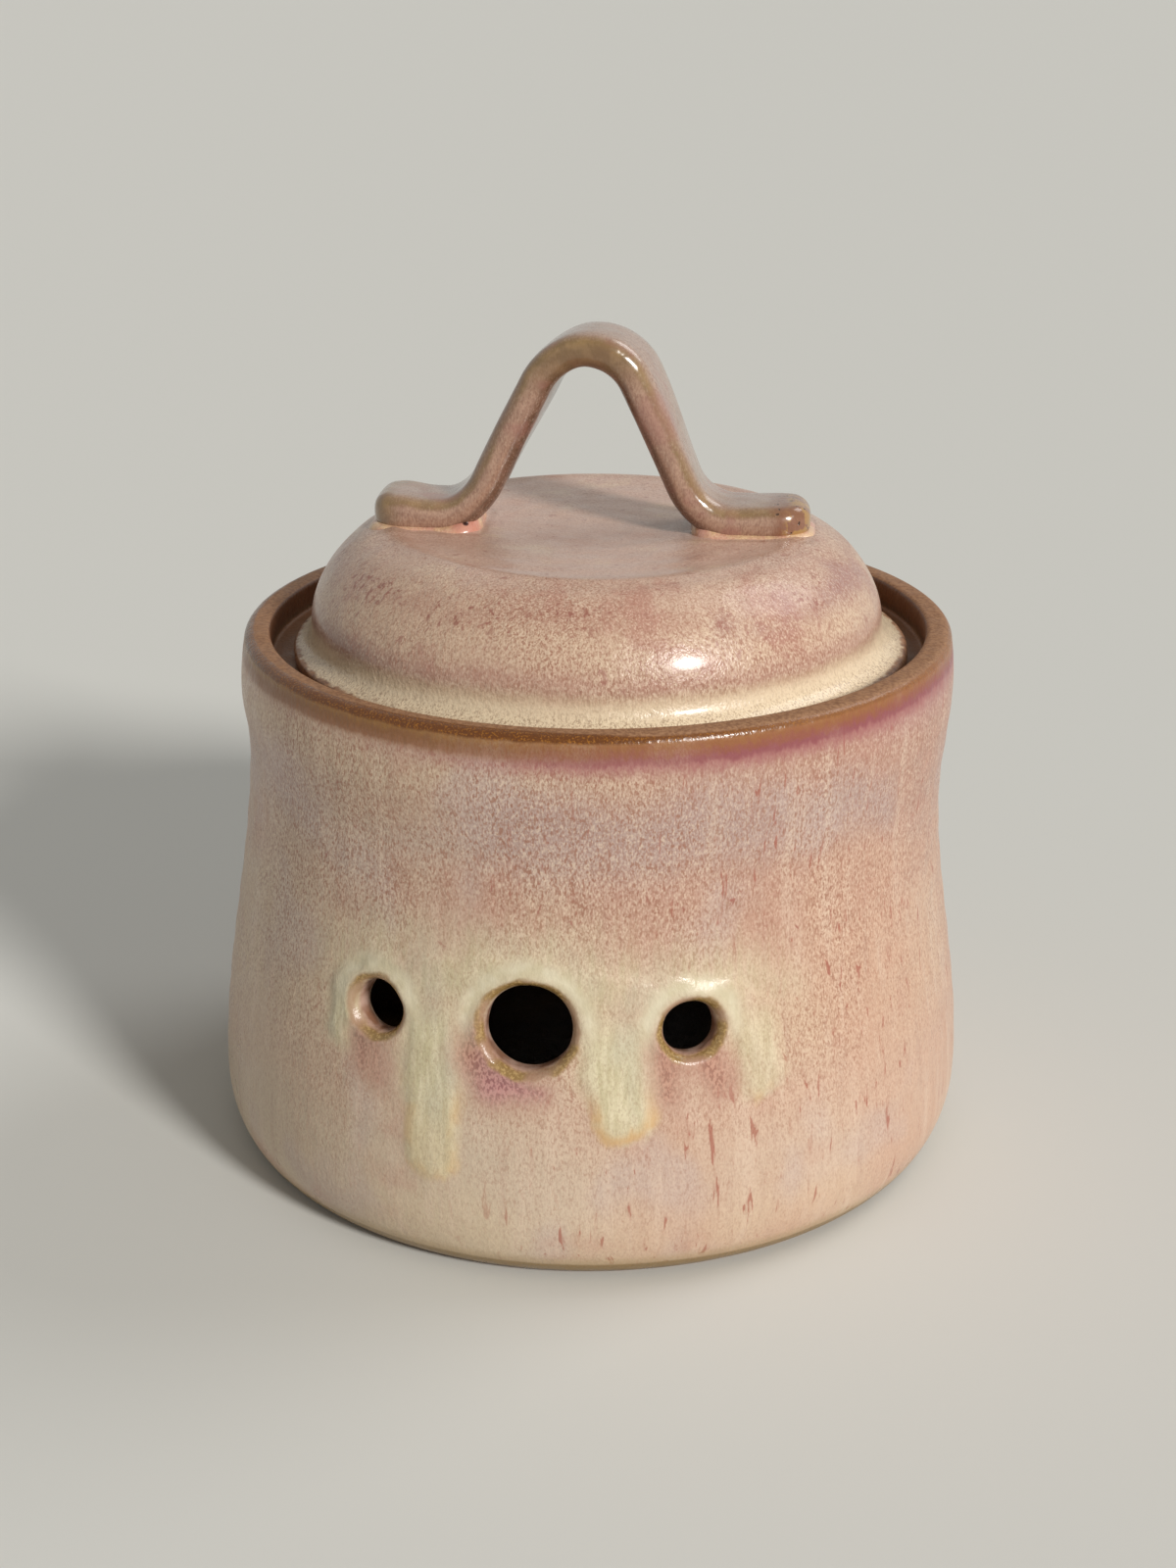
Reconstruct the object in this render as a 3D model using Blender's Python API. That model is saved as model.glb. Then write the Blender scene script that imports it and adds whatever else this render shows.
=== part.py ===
"""Garlic keeper: a stoneware jar with vent holes and a lid with a pulled strap handle.

The jar stands on its foot ring at z = 0 and its middle front vent faces -Y. The lid rests
on a ledge inside the jar's rim and lifts straight up. All lengths are in metres.
"""
from math import atan, cos, pi, radians, sin, tan

import bmesh
import bpy
from mathutils import Matrix, Vector

# Jar, outside
jar_height = 0.0941
foot_radius = 0.0605
foot_ring_width = 0.0085
foot_recess_depth = 0.0015
belly_radius = 0.0674
belly_height = 0.0125
waist_radius = 0.0613
waist_height = 0.0705
collar_radius = 0.0624
collar_height = 0.0845
rim_radius = 0.0617
rim_outer_round = 0.0018
rim_inner_round = 0.0010

# Jar, inside
wall_thickness = 0.0050
base_thickness = 0.0053
floor_corner_round = 0.0100
recess_radius = 0.0571
recess_depth = 0.0052
ledge_corner_round = 0.0006
mouth_radius = 0.0502
mouth_edge_round = 0.0010
ledge_thickness = 0.0040

# Vent holes, one row of three on the front and one on the back
vent_large_diameter = 0.0140
vent_small_diameter = 0.0088
vent_large_height = 0.0453
vent_small_height = 0.0448
vent_pitch_angle = radians(23.7)
vent_outer_round = 0.0020
vent_inner_round = 0.0010
vent_row_angles = (0, pi)

# Lid
flange_radius = 0.0533
flange_edge_thickness = 0.0024
flange_edge_round = 0.0009
neck_radius = 0.0493
neck_height = 0.0070
lid_height = 0.0221
lid_top_radius = 0.0345
lid_top_dish = 0.0004
lid_wall_thickness = 0.0050
lid_inner_edge_round = 0.0020

# How the lid lies in its seat: the clearances, and the place where it was put down
seat_clearance = 0.0003
lid_turn = radians(4.3)
lid_set_forward = 0.0020

# Handle, a flat strap bent into an arch with two feet
handle_length = 0.0738
handle_width = 0.0144
handle_thickness = 0.0055
handle_corner_round = 0.0022
handle_end_round = 0.0022
handle_height = 0.0334
crown_radius = 0.0093
leg_lean = radians(25.2)
foot_bend_radius = 0.0095
handle_off_centre = 0.0016
handle_clearance = 0.0003

# How far a cutter runs past what it cuts, and the distance within which points are one
cut_overrun = 0.0040
weld_distance = 0.00001

# Shape shares: control points of curves, as parts of the stretch that they span
flange_slope_shares = ((0.70, 0.16), (1, 0.48))
dome_shares = ((0, 0.37), (0.42, 1))
under_ledge_shares = ((0, 0.30), (1, 0.42))

# Counts
round_sides = 60
vent_sides = 20
section_corner_steps = 3

# Colours, roughness
jar_colour = (0.58, 0.43, 0.33, 1)
lid_colour = (0.60, 0.44, 0.35, 1)
handle_colour = (0.47, 0.33, 0.25, 1)
jar_roughness = 0.38
lid_roughness = 0.36
handle_roughness = 0.42

# Heights and radii that follow from the sizes above
ledge_height = jar_height - recess_depth
floor_height = foot_recess_depth + base_thickness
jar_inner_belly_radius = belly_radius - wall_thickness
jar_inner_waist_radius = waist_radius - wall_thickness
lid_inner_radius = neck_radius - lid_wall_thickness
lid_ceiling_height = lid_height - lid_wall_thickness


def clear_scene():
    for item in list(bpy.data.objects):
        bpy.data.objects.remove(item, do_unlink=True)


def glazed_material(name, colour, roughness):
    material = bpy.data.materials.new(name)
    material.use_nodes = True
    shader = material.node_tree.nodes["Principled BSDF"]
    shader.inputs["Base Color"].default_value = colour
    shader.inputs["Roughness"].default_value = roughness
    shader.inputs["Metallic"].default_value = 0
    material.diffuse_color = colour
    return material


def fractions(steps):
    """Even steps from just after 0 up to 1."""
    return [(step + 1) / steps for step in range(steps)]


def s_curve(start, end, steps):
    """Points after start, up to end, on a curve that is upright at both of its ends."""
    points = []
    for t in fractions(steps):
        across = 3 * t ** 2 - 2 * t ** 3
        points.append((start[0] + (end[0] - start[0]) * across, start[1] + (end[1] - start[1]) * t))
    return points


def lean_in(start, end, steps):
    """Points after start, up to end, on a curve that is upright at its start only."""
    points = []
    for t in fractions(steps):
        points.append((start[0] + (end[0] - start[0]) * t ** 2, start[1] + (end[1] - start[1]) * t))
    return points


def arc(centre, across, up, first, last, steps):
    """Points of an ellipse's arc after its first angle, up to its last."""
    points = []
    for t in fractions(steps):
        angle = first + (last - first) * t
        points.append((centre[0] + across * cos(angle), centre[1] + up * sin(angle)))
    return points


def bezier(start, shares, end, steps):
    """Points after start, up to end, on a cubic curve whose controls are shares of its span."""
    controls = [start]
    for across, up in shares:
        controls.append((start[0] + (end[0] - start[0]) * across, start[1] + (end[1] - start[1]) * up))
    controls.append(end)
    points = []
    for t in fractions(steps):
        weights = ((1 - t) ** 3, 3 * t * (1 - t) ** 2, 3 * t ** 2 * (1 - t), t ** 3)
        points.append(tuple(sum(w * c[axis] for w, c in zip(weights, controls)) for axis in (0, 1)))
    return points


def turned(name, outline, sides):
    """An object turned about Z from an outline of (radius, height) points."""
    mesh = bpy.data.meshes.new(name)
    form = bmesh.new()
    corners = [form.verts.new((radius, 0, height)) for radius, height in outline]
    edges = [form.edges.new(pair) for pair in zip(corners, corners[1:])]
    bmesh.ops.spin(form, geom=corners + edges, cent=(0, 0, 0), axis=(0, 0, 1),
                   angle=2 * pi, steps=sides, use_merge=True)
    bmesh.ops.remove_doubles(form, verts=form.verts, dist=weld_distance)
    bmesh.ops.recalc_face_normals(form, faces=form.faces)
    form.to_mesh(mesh)
    form.free()
    piece = bpy.data.objects.new(name, mesh)
    bpy.context.scene.collection.objects.link(piece)
    return piece


def finish_round(piece, material, sharp_angle):
    piece.data.materials.append(material)
    piece.data.shade_smooth()
    piece.data.set_sharp_from_angle(angle=sharp_angle)


def jar_outline():
    """The jar's section from the middle of its underside, over the rim, to its floor."""
    ring_inner = foot_radius - foot_ring_width
    outline = [(0, foot_recess_depth), (ring_inner - foot_recess_depth, foot_recess_depth)]
    outline += [(ring_inner, 0), (foot_radius, 0)]
    heel = belly_radius - foot_radius
    outline += arc((foot_radius, belly_height), heel, belly_height, -pi / 2, 0, 7)
    outline += s_curve(outline[-1], (waist_radius, waist_height), 9)
    outline += s_curve(outline[-1], (collar_radius, collar_height), 3)
    outline += lean_in(outline[-1], (rim_radius, jar_height - rim_outer_round), 2)
    outline += arc((rim_radius - rim_outer_round, jar_height - rim_outer_round),
                   rim_outer_round, rim_outer_round, 0, pi / 2, 3)
    rim_inner_centre = (recess_radius + rim_inner_round, jar_height - rim_inner_round)
    outline.append((rim_inner_centre[0], jar_height))
    outline += arc(rim_inner_centre, rim_inner_round, rim_inner_round, pi / 2, pi, 2)
    corner_centre = (recess_radius - ledge_corner_round, ledge_height + ledge_corner_round)
    outline.append((recess_radius, corner_centre[1]))
    outline += arc(corner_centre, ledge_corner_round, ledge_corner_round, 0, -pi / 2, 2)
    edge_centre = (mouth_radius + mouth_edge_round, ledge_height - mouth_edge_round)
    outline.append((edge_centre[0], ledge_height))
    outline += arc(edge_centre, mouth_edge_round, mouth_edge_round, pi / 2, pi, 2)
    outline.append((mouth_radius, ledge_height - ledge_thickness))
    outline += bezier(outline[-1], under_ledge_shares, (jar_inner_waist_radius, waist_height), 5)
    outline += s_curve(outline[-1], (jar_inner_belly_radius, floor_height + floor_corner_round), 6)
    corner_centre = (jar_inner_belly_radius - floor_corner_round, floor_height + floor_corner_round)
    outline += arc(corner_centre, floor_corner_round, floor_corner_round, 0, -pi / 2, 4)
    outline.append((0, floor_height))
    return outline


def wall_at(height):
    """The jar's outer radius between belly and waist, and how much it grows per metre up."""
    t = (height - belly_height) / (waist_height - belly_height)
    radius = belly_radius + (waist_radius - belly_radius) * (3 * t ** 2 - 2 * t ** 3)
    slope = (waist_radius - belly_radius) * 6 * t * (1 - t) / (waist_height - belly_height)
    return radius, slope


def vent_cutter(name, diameter, height, angle):
    """A spool that cuts one vent square to the wall and rounds both of its edges."""
    radius = diameter / 2
    outer, slope = wall_at(height)
    inner_face = -wall_thickness
    outline = [(0, inner_face - cut_overrun), (radius + vent_inner_round, inner_face - cut_overrun)]
    outline.append((radius + vent_inner_round, inner_face))
    outline += arc((radius + vent_inner_round, inner_face + vent_inner_round),
                   vent_inner_round, vent_inner_round, -pi / 2, -pi, 3)
    outline.append((radius, -vent_outer_round))
    outline += arc((radius + vent_outer_round, -vent_outer_round),
                   vent_outer_round, vent_outer_round, pi, pi / 2, 4)
    outline += [(radius + vent_outer_round, cut_overrun), (0, cut_overrun)]
    cutter = turned(name, outline, vent_sides)
    place = Matrix.Rotation(angle, 4, "Z") @ Matrix.Translation((0, -outer, height))
    cutter.matrix_world = place @ Matrix.Rotation(pi / 2 + atan(slope), 4, "X")
    cutter.hide_render = True
    cutter.display_type = "WIRE"
    return cutter


def build_jar():
    jar = turned("jar", jar_outline(), round_sides)
    for row, row_angle in enumerate(vent_row_angles):
        for step in (-1, 0, 1):
            diameter = vent_small_diameter if step else vent_large_diameter
            height = vent_small_height if step else vent_large_height
            cutter = vent_cutter(f"vent_cutter_{row}_{step + 1}", diameter, height,
                                 row_angle + step * vent_pitch_angle)
            cut = jar.modifiers.new(cutter.name, "BOOLEAN")
            cut.operation = "DIFFERENCE"
            cut.solver = "EXACT"
            cut.object = cutter
    finish_round(jar, glazed_material("jar_glaze", jar_colour, jar_roughness), radians(40))
    return jar


def lid_outline():
    """The lid's section from the middle of its top, over the flange, to its ceiling."""
    outline = [(0, lid_height - lid_top_dish)]
    for share in (0.5, 1):
        outline.append((lid_top_radius * share, lid_height - lid_top_dish * (1 - share ** 2)))
    neck = (neck_radius, neck_height)
    dome = bezier(neck, dome_shares, (lid_top_radius, lid_height), 9)
    outline += list(reversed(dome[:-1]))
    outline.append(neck)
    edge_centre = (flange_radius - flange_edge_round, flange_edge_thickness - flange_edge_round)
    slope_end = (edge_centre[0], flange_edge_thickness)
    slope = bezier(slope_end, flange_slope_shares, neck, 4)
    outline += list(reversed(slope[:-1]))
    outline.append(slope_end)
    outline += arc(edge_centre, flange_edge_round, flange_edge_round, pi / 2, 0, 2)
    outline += arc((edge_centre[0], flange_edge_round), flange_edge_round, flange_edge_round,
                   0, -pi / 2, 2)
    inner_edge = lid_inner_radius + lid_inner_edge_round
    outline.append((inner_edge, 0))
    outline += arc((inner_edge, lid_inner_edge_round), lid_inner_edge_round,
                   lid_inner_edge_round, -pi / 2, -pi, 3)
    inner_neck = (lid_inner_radius, neck_height)
    outline.append(inner_neck)
    ceiling_radius = lid_top_radius - lid_wall_thickness / 2
    outline += bezier(inner_neck, dome_shares, (ceiling_radius, lid_ceiling_height), 6)
    outline.append((0, lid_ceiling_height))
    return outline


def build_lid():
    lid = turned("lid", lid_outline(), round_sides)
    lid.location = (0, -lid_set_forward, ledge_height + seat_clearance)
    lid.rotation_euler = (0, 0, lid_turn)
    finish_round(lid, glazed_material("lid_glaze", lid_colour, lid_roughness), radians(40))
    return lid


def strap_section():
    """The strap's cross-section as (width, thickness) points, once round."""
    half_width = handle_width / 2 - handle_corner_round
    half_thickness = handle_thickness / 2 - handle_corner_round
    points = []
    for quarter in range(4):
        side = 1 if quarter in (0, 3) else -1
        face = 1 if quarter in (0, 1) else -1
        for step in range(section_corner_steps + 1):
            angle = (quarter + step / section_corner_steps) * pi / 2
            points.append((side * half_width + handle_corner_round * cos(angle),
                           face * half_thickness + handle_corner_round * sin(angle)))
    return points


def strap_path():
    """Half of the strap's middle line as (along, up, heading), from the crown to a foot's end."""
    middle = handle_thickness / 2
    apex = handle_height - middle
    crown_centre = apex - crown_radius
    path = []
    for step in range(6):
        turn = (pi / 2 - leg_lean) * step / 6
        path.append((crown_radius * sin(turn), crown_centre + crown_radius * cos(turn), turn))
    turn = pi / 2 - leg_lean
    leg_top = (crown_radius * sin(turn), crown_centre + crown_radius * cos(turn))
    bend_top = middle + foot_bend_radius * (1 - cos(turn))
    leg_run = (leg_top[1] - bend_top) * tan(leg_lean)
    for step in range(3):
        share = step / 3
        path.append((leg_top[0] + leg_run * share, leg_top[1] + (bend_top - leg_top[1]) * share, turn))
    bend_start = leg_top[0] + leg_run
    bend_centre = bend_start + foot_bend_radius * sin(turn)
    for step in range(6):
        left = turn * (1 - step / 6)
        path.append((bend_centre - foot_bend_radius * sin(left),
                     middle + foot_bend_radius * (1 - cos(left)), left))
    foot_end = handle_length / 2 - handle_end_round
    for step in range(3):
        path.append((bend_centre + (foot_end - bend_centre) * step / 2, middle, 0))
    return path


def strap_rings():
    """Cross-sections from the left foot's end to the right foot's end."""
    section = strap_section()
    half = strap_path()
    stations = [(along, up, heading, 0) for along, up, heading in half]
    foot_end = half[-1]
    for t in fractions(3):
        angle = t * pi / 2
        shrink = handle_end_round * (1 - cos(angle))
        stations.append((foot_end[0] + handle_end_round * sin(angle), foot_end[1], 0, shrink))
    mirrored = [(-along, up, -heading, shrink) for along, up, heading, shrink in stations[:0:-1]]
    rings = []
    for along, up, heading, shrink in mirrored + stations:
        width_share = 1 - 2 * shrink / handle_width
        thickness_share = 1 - 2 * shrink / handle_thickness
        ring = []
        for across, rise in section:
            lift = rise * thickness_share
            ring.append(Vector((along + lift * sin(heading), across * width_share,
                                up + lift * cos(heading))))
        rings.append(ring)
    return rings


def build_handle(lid):
    mesh = bpy.data.meshes.new("handle")
    form = bmesh.new()
    loops = []
    for ring in strap_rings():
        corners = [form.verts.new(point) for point in ring]
        loops.append([form.edges.new((a, b)) for a, b in zip(corners, corners[1:] + corners[:1])])
    for loop, following in zip(loops, loops[1:]):
        bmesh.ops.bridge_loops(form, edges=loop + following)
    bmesh.ops.contextual_create(form, geom=loops[0])
    bmesh.ops.contextual_create(form, geom=loops[-1])
    bmesh.ops.recalc_face_normals(form, faces=form.faces)
    form.to_mesh(mesh)
    form.free()
    handle = bpy.data.objects.new("handle", mesh)
    bpy.context.scene.collection.objects.link(handle)
    handle.parent = lid
    handle.location = (-handle_off_centre, 0, lid_height + handle_clearance)
    finish_round(handle, glazed_material("handle_glaze", handle_colour, handle_roughness), radians(50))
    return handle


def main():
    clear_scene()
    build_jar()
    lid = build_lid()
    build_handle(lid)
    bpy.context.view_layer.update()


main()
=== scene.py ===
"""Looks of a garlic keeper: a glazed stoneware jar with vents, and its lid with a strap handle."""
from math import atan, cos, pi, radians, sin, tan

import bpy
import numpy as np
from mathutils import Matrix, Vector


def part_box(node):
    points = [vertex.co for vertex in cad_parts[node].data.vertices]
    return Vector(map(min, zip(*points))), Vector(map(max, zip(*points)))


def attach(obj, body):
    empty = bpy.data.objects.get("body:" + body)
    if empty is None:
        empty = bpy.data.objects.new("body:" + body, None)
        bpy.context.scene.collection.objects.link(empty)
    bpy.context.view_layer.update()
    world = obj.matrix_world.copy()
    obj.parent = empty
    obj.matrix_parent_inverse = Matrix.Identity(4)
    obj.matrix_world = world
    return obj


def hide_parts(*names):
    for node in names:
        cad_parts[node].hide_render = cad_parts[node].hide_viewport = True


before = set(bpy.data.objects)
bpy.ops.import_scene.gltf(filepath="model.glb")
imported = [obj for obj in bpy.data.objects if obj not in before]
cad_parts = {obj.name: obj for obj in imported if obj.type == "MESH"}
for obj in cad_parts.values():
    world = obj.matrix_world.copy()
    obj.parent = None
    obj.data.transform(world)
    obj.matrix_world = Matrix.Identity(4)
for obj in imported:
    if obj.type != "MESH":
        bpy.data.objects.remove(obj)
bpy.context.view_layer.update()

jar_low, jar_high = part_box("jar")
lid_low, lid_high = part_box("lid")
handle_low, handle_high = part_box("handle")

mm = 0.001
# The innermost ring of a turned piece, where a fan closes it
fan_radius = 2 * mm

# Where the photograph was taken from, as seen from the jar's foot. The front vent faces -Y.
view_turn = radians(9.3)
camera_distance = 0.3954
camera_height = 0.2163
aim_height = 0.0625
aim_left = 0.0017
camera_lens = 54.0
camera_sensor = 36.0
camera_roll = radians(0.07)
view_right = np.array([cos(view_turn), sin(view_turn), 0])

# Jar
jar_height = jar_high[2]
belly_radius = jar_high[0]
belly_height = 12.5 * mm
waist_radius = 61.3 * mm
waist_height = 70.5 * mm
waist_dip = 4.0 * mm
collar_radius = 62.4 * mm
collar_height = 84.5 * mm
rim_radius = 61.7 * mm
rim_outer_round = 1.8 * mm
rim_inner_round = 1.0 * mm
rim_round_start = jar_height - rim_outer_round
rim_round_rows, rim_flat_rows = 8, 3
foot_radius = 60.5 * mm
foot_ring_width = 8.5 * mm
foot_recess = 1.5 * mm
wall = 5.0 * mm
floor_height = 6.8 * mm
floor_corner = 10.0 * mm
recess_radius = 57.1 * mm
ledge_height = jar_height - 5.2 * mm
ledge_corner = 0.6 * mm
mouth_radius = 50.2 * mm
mouth_edge = 1.0 * mm
ledge_thickness = 4.0 * mm
jar_lean = 0.014
jar_waves = ((2, 0.22 * mm, 1.1), (3, 0.12 * mm, 0.4))
jar_columns = 480
row_spacing = 0.85 * mm

# Vents: the middle one and the two beside it, in a row on the front and one on the back
large_vent = (7.0 * mm, 45.3 * mm)
small_vent = (4.4 * mm, 44.8 * mm)
vent_pitch = radians(23.7)
vent_outer_round = 2.0 * mm
vent_inner_round = 1.0 * mm
vent_margin = 2.2 * mm
vent_lip = 0.28 * mm
vent_lip_width = 1.1 * mm
vent_patch_rings = 5
vent_round_rings = 7
vent_wall_rings = 5
vent_inner_rings = 4

# Pale glaze that ran down between the vents, as paths of (distance along the wall from the middle
# vent, height, half width), in mm
front_runs = (
    ((-34.5, 39.0, 2.6), (-32.0, 46.0, 3.6), (-25.0, 50.5, 3.4), (-15.5, 50.0, 4.6),
     (-7.5, 54.0, 2.4), (1.0, 55.0, 2.2), (9.5, 53.0, 3.0), (16.0, 48.5, 4.8),
     (24.0, 51.0, 2.2), (32.0, 49.5, 2.6), (37.0, 45.0, 3.4)),
    ((-15.8, 50.0, 4.9), (-15.6, 36.0, 4.6), (-15.6, 22.2, 4.8)),
    ((13.0, 48.5, 5.0), (14.4, 38.0, 4.9), (16.0, 31.2, 5.3)),
    ((37.0, 45.0, 3.4), (39.2, 34.8, 4.1)),
)
back_runs = (
    ((-36.0, 44.0, 3.0), (-26.0, 51.0, 3.4), (-14.0, 50.5, 4.4), (0.0, 55.5, 2.4),
     (12.0, 51.5, 4.6), (26.0, 51.0, 3.0), (36.0, 43.0, 3.6)),
    ((-14.5, 49.0, 4.6), (-15.5, 27.0, 4.9)),
    ((13.5, 49.0, 4.6), (14.4, 20.5, 5.2)),
    ((36.0, 43.0, 3.6), (37.5, 31.0, 4.4)),
)
# Pink and violet blooms under and beside the vents, given in the same way
front_blooms = (
    ((-9.2, 44.5, 0.5), (-8.4, 40.0, 1.9), (-5.0, 36.2, 2.1), (2.5, 34.8, 0.7)),
    ((-29.5, 38.4, 1.6), (-29.0, 34.5, 1.0)),
    ((-27.0, 38.0, 0.6), (-26.0, 33.0, 0.2)),
    ((21.5, 42.0, 0.9), (23.2, 34.5, 0.9)),
    ((29.5, 39.0, 1.5), (31.5, 35.0, 1.2)),
)
back_blooms = (
    ((8.9, 44.0, 0.5), (7.0, 38.0, 1.8), (-1.0, 35.0, 0.8)),
    ((-25.0, 38.5, 1.5), (-26.5, 34.0, 0.8)),
    ((27.5, 38.5, 1.5), (26.5, 34.5, 1.0)),
)
stroke_blend = 3.0 * mm
run_height = 0.42 * mm
run_edge = 1.6 * mm
run_wander = 0.35 * mm
far_away = 30 * mm
outer_ring, outer_ring_pitch = 0.05 * mm, 7.3 * mm
inner_ring, inner_ring_pitch = 0.16 * mm, 8.1 * mm

# Lid
lid_columns = 360
lid_place = Vector(((lid_low[0] + lid_high[0]) / 2, (lid_low[1] + lid_high[1]) / 2, lid_low[2]))
lid_turn = radians(4.3)
lid_frame = Matrix.Translation(lid_place) @ Matrix.Rotation(lid_turn, 4, "Z")
lid_height = lid_high[2] - lid_low[2]
flange_radius = (lid_high[0] - lid_low[0]) / 2
flange_edge = 2.4 * mm
flange_round = 0.9 * mm
flange_drift = 0.8 * mm
lid_waves = ((2, 0.12 * mm, 0.7), (5, 0.08 * mm, 0.0))
crease_height, crease_width = 0.25 * mm, 1.7 * mm
pad_height, pad_spread = 0.25 * mm, 6.0 * mm
lid_ring, lid_ring_pitch = 0.05 * mm, 6.1 * mm
lid_disc_rows, lid_dome_rows, lid_flare_rows, lid_edge_rows = 22, 44, 14, 5
lid_top_rows = lid_disc_rows + lid_dome_rows + lid_flare_rows + lid_edge_rows
neck_radius = 49.3 * mm
neck_height = 7.0 * mm
lid_top_radius = 34.5 * mm
lid_dish = 0.4 * mm
lid_wall = 5.0 * mm
lid_inner_round = 2.0 * mm
dome_shares = ((0, 0.37), (0.42, 1))
flange_shares = ((0.70, 0.16), (1, 0.48))

# Handle
handle_off_centre = 1.6 * mm
handle_length = 73.8 * mm
handle_width = 14.4 * mm
handle_thickness = 5.5 * mm
handle_height = handle_high[2] - handle_low[2]
handle_lift = 0.3 * mm
crown_radius = 9.3 * mm
leg_lean = radians(25.2)
foot_bend_radius = 9.5 * mm
foot_reach = handle_length / 2
strap_corner = 2.5 * mm
strap_end_round = 3.1 * mm
strap_plan_round = 5.9 * mm
crown_of_strap = 0.25 * mm
strap_waves = ((0.03, 5.2 * mm, 0.6), (0.02, 2.9 * mm, 0.0))
end_thinning = 0.94
foot_swell = 0.7 * mm
right_foot_share = 0.15
foot_bulge = 0.5 * mm
foot_sink = 1.0 * mm
crown_sag = 0.9 * mm
back_shift = 1.5 * mm
right_foot_extra = 1.4 * mm
left_foot_extra = 0.3 * mm
# The clay under the handle's feet
pad_reach = 18.9 * mm
outer_turn = 4.6 * mm
inner_turn = 4.2 * mm
luting_spread = 1.0 * mm
luting_inset = -1.3 * mm
luting_steps = 7
luting_sink = 0.4 * mm
luting_cover = 1.4 * mm
blob_size = 1.2 * mm
blob_radius = 3.0 * mm
pinhole = (-20.1 * mm, -6.8 * mm, lid_height + 1.25 * mm)
# A pink place on the handle's right leg
leg_blush = (13.0 * mm, -6.5 * mm, 20.0 * mm)


# ---- Small helpers -------------------------------------------------------------------------

def ease(value, low, high):
    """0 below low, 1 above high, with a smooth rise between."""
    t = np.clip((value - low) / (high - low), 0, 1)
    return t * t * (3 - 2 * t)


def wrap(angle):
    """The same angle between -pi and pi."""
    return (angle + pi) % (2 * pi) - pi


def arc(centre, radius, first, last, steps):
    """(radius, height) points of a round after its first angle, up to its last."""
    angles = first + (last - first) * np.arange(1, steps + 1) / steps
    return np.stack([centre[0] + radius * np.cos(angles), centre[1] + radius * np.sin(angles)], 1)


def line(start, end, steps):
    t = np.arange(1, steps + 1)[:, None] / steps
    return np.array(start) * (1 - t) + np.array(end) * t


def bezier(start, shares, end, steps):
    """Points after start, up to end, on a cubic whose controls are shares of its span."""
    start, end = np.array(start), np.array(end)
    first, second = (start + (end - start) * np.array(pair) for pair in shares)
    t = np.arange(1, steps + 1)[:, None] / steps
    return ((1 - t) ** 3 * start + 3 * t * (1 - t) ** 2 * first
            + 3 * t ** 2 * (1 - t) * second + t ** 3 * end)


def soft_least(first, second, width):
    """The lesser of two distances, rounded where they meet."""
    share = np.clip(0.5 + 0.5 * (second - first) / width, 0, 1)
    return second * (1 - share) + first * share - width * share * (1 - share)


def waves(angle, height, seed, counts, tall):
    """Slow unevenness round and up a turned piece, between about -1 and 1."""
    rng = np.random.default_rng(seed)
    total = 0
    for count in counts:
        phase, drift, weight = rng.uniform(0, 2 * pi), rng.uniform(0.4, 1.4), rng.uniform(0.6, 1)
        total = total + weight * np.sin(count * angle + phase + drift * height / tall)
    return total / len(counts)


def out_of_round(angle, parts):
    """What slow waves round a turned piece add to its radius."""
    return sum(size * np.cos(count * angle + phase) for count, size, phase in parts)


def make_piece(name, points, faces, values, material):
    """A smooth-shaded mesh object with its float attributes."""
    mesh = bpy.data.meshes.new(name)
    mesh.from_pydata(points, [], faces)
    for key, numbers in values.items():
        layer = mesh.attributes.new(key, "FLOAT", "POINT")
        layer.data.foreach_set("value", np.asarray(numbers, np.float32))
    mesh.validate()
    mesh.shade_smooth()
    mesh.materials.append(material)
    piece = bpy.data.objects.new(name, mesh)
    bpy.context.scene.collection.objects.link(piece)
    return piece


def settle(piece, body, slot, *nodes):
    """The piece rides on its body, and stands for CAD nodes where it replaces them."""
    if nodes:
        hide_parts(*nodes)
    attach(piece, body)


def grid_faces(rows, columns, skip=frozenset()):
    faces = []
    for row in range(rows - 1):
        for column in range(columns):
            if (row, column) not in skip:
                after = (column + 1) % columns
                low, high = row * columns, (row + 1) * columns
                faces.append((low + column, low + after, high + after, high + column))
    return faces


def fan_faces(total, rows, columns):
    """Triangles that close a grid's first row at the point total, and its last at the next."""
    faces, last = [], (rows - 1) * columns
    for column in range(columns):
        after = (column + 1) % columns
        faces += [(total, after, column), (total + 1, last + column, last + after)]
    return faces


def tube_faces(rows, columns):
    """A grid with a flat cap on its first and last row."""
    first, last = range(columns), range((rows - 1) * columns, rows * columns)
    return grid_faces(rows, columns) + [tuple(first)[::-1], tuple(last)]


# ---- Jar -----------------------------------------------------------------------------------

def outer_radius(angle, height):
    """The outside between belly and rim. The waist lies a little higher on one side."""
    waist = waist_height - waist_dip * np.sin(angle - view_turn)
    radius = belly_radius + (waist_radius - belly_radius) * ease(height, belly_height, waist)
    radius = radius + (collar_radius - waist_radius) * ease(height, waist, collar_height)
    lean = np.clip((height - collar_height) / (rim_round_start - collar_height), 0, 1)
    return radius - (collar_radius - rim_radius) * lean ** 2


def inner_radius(height):
    low = floor_height + floor_corner
    rise = ease(height, low, waist_height)
    return belly_radius - wall + (waist_radius - belly_radius) * rise


def vent_list():
    """Every vent as (angle, radius, height, tilt, inner height)."""
    vents = []
    for row in (0, pi):
        for step in (-1, 0, 1):
            radius, height = small_vent if step else large_vent
            span = waist_height - belly_height
            t = (height - belly_height) / span
            tilt = atan((belly_radius - waist_radius) * 6 * t * (1 - t) / span)
            vents.append((row + step * vent_pitch, radius, height, tilt, height - wall * sin(tilt)))
    return vents


vents = vent_list()


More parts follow.
